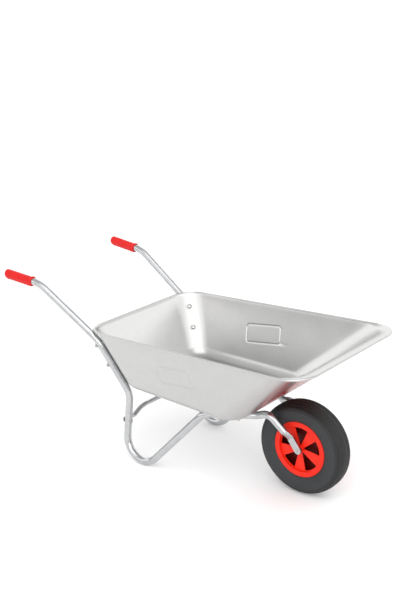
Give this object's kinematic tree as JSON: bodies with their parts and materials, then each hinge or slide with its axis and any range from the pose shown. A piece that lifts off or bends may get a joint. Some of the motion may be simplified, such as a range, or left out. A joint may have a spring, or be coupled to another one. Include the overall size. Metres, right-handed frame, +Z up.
{
  "type": "wheelbarrow",
  "caption": "Single-wheel garden wheelbarrow with a deep pressed steel tray, bent tube frame with loop legs and a spoked plastic wheel with an air tyre.",
  "frame": {"origin": "on the ground, under the centre of the overall length and width", "axes": "+X points forwards to the wheel, +Y to the left handle, +Z up; it stands on its wheel and both feet"},
  "size_m": [1.4069, 0.6546, 0.6794],
  "materials": {
    "galvanised_sheet": "pressed galvanised sheet, satin",
    "galvanised_tube": "galvanised tube, satin",
    "label_film": "blank red film",
    "tyre_rubber": "matt black moulded tyre rubber",
    "butyl_rubber": "matt",
    "rim_plastic": "moulded red plastic, semi-gloss",
    "zinc_fastener": "zinc plated",
    "bush_plastic": "black acetal",
    "valve_rubber": "matt",
    "black_plastic": "matt",
    "axle_steel": "turned steel",
    "grip_plastic": "soft moulded red plastic, satin"
  },
  "bodies": {
    "frame": {"tray": "galvanised_sheet", "right_frame_tube": "galvanised_tube", "left_frame_tube": "galvanised_tube", "leg_brace": "galvanised_tube", "floor_strap": "galvanised_tube", "front_label": "label_film", "axle_spindle": "axle_steel", "axle_washers": "zinc_fastener", "axle_screws": "zinc_fastener", "right_grip": "grip_plastic", "left_grip": "grip_plastic", "wall_bolts": "zinc_fastener", "floor_bolts": "zinc_fastener", "strap_bolts": "zinc_fastener", "brace_bolts": "zinc_fastener", "wall_washers": "zinc_fastener", "floor_washers": "zinc_fastener", "wall_nuts": "zinc_fastener", "floor_nuts": "zinc_fastener", "brace_nuts": "zinc_fastener"},
    "wheel": {"tyre": "tyre_rubber", "inner_tube": "butyl_rubber", "rim_left_half": "rim_plastic", "rim_right_half": "rim_plastic", "rim_screws": "zinc_fastener", "hub_bushes": "bush_plastic", "valve_stem": "valve_rubber", "valve_cap": "black_plastic"}
  },
  "joints": [
    {"name": "wheel_spin", "type": "hinge", "parent": "frame", "child": "wheel", "pos_m": [0.514, 0, 0.175], "axis": [0, 1, 0], "continuous": true}
  ]
}
